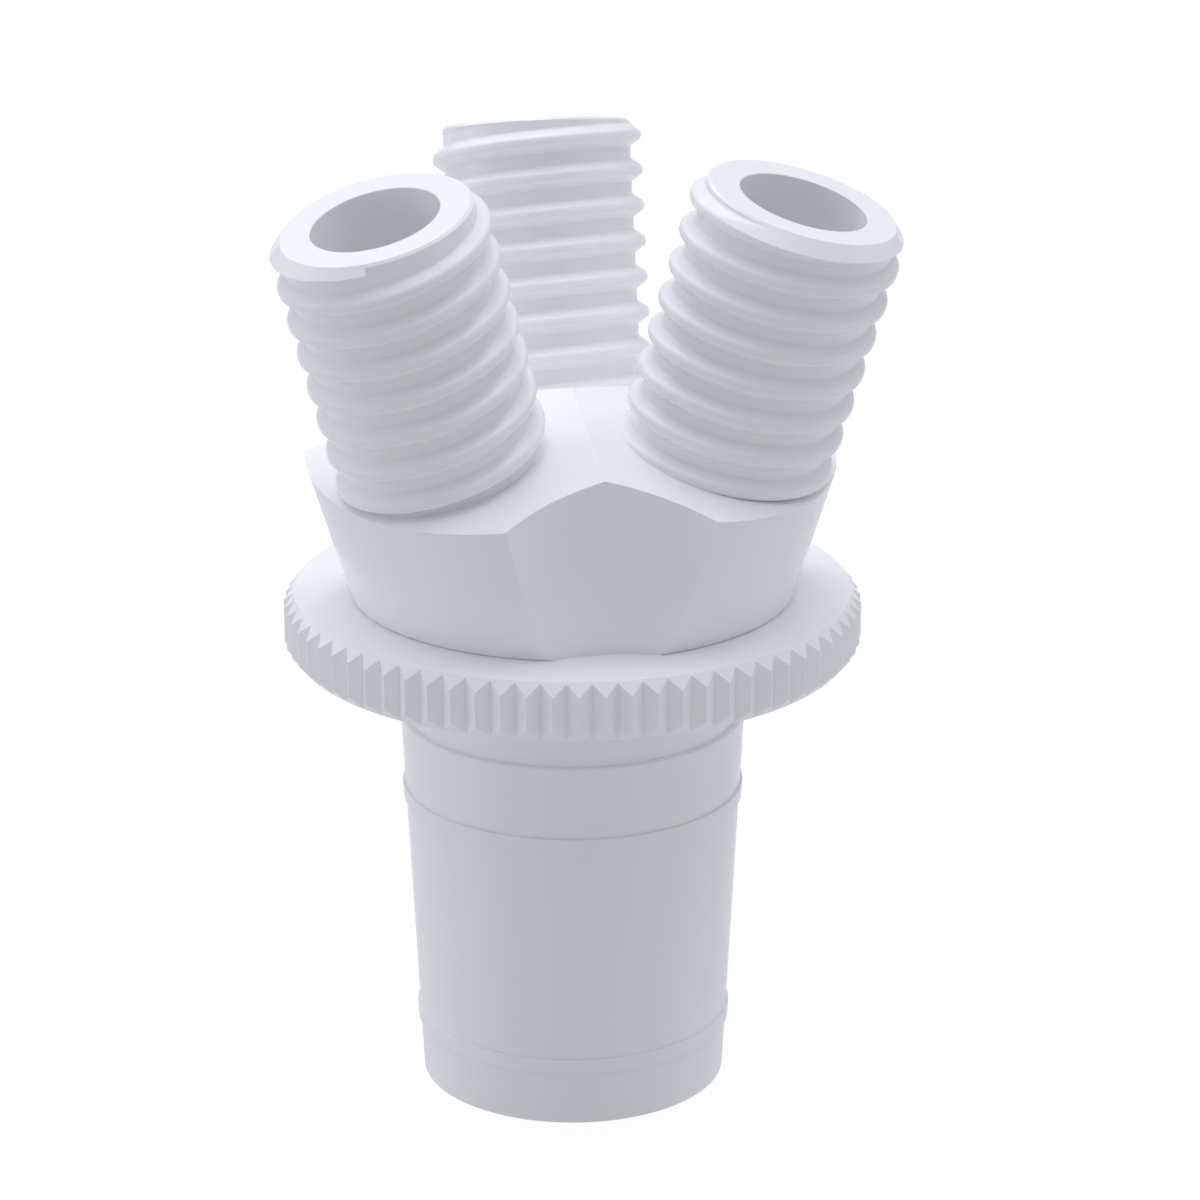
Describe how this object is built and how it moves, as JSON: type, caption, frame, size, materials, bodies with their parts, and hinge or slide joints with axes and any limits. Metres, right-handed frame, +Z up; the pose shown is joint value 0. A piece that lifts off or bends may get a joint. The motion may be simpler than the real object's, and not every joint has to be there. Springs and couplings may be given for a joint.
{
  "type": "distributor adapter",
  "caption": "Moulded adapter that splits one flow: a tapered joint spigot with sealing bands, a knurled grip flange, and round-threaded nipples that lean outwards from a flared body.",
  "frame": {"origin": "centre of the spigot's bore at the spigot's end, which the part stands on", "axes": "+Z up along the spigot's axis, towards the nipples; +Y towards the nipple at the back, with the other two to the front left and the front right"},
  "size_m": [0.0502, 0.0516, 0.0799],
  "materials": {
    "white_plastic": "satin white, slightly glossy"
  },
  "bodies": {
    "root": {"distributor_adapter": "white_plastic"}
  },
  "joints": []
}
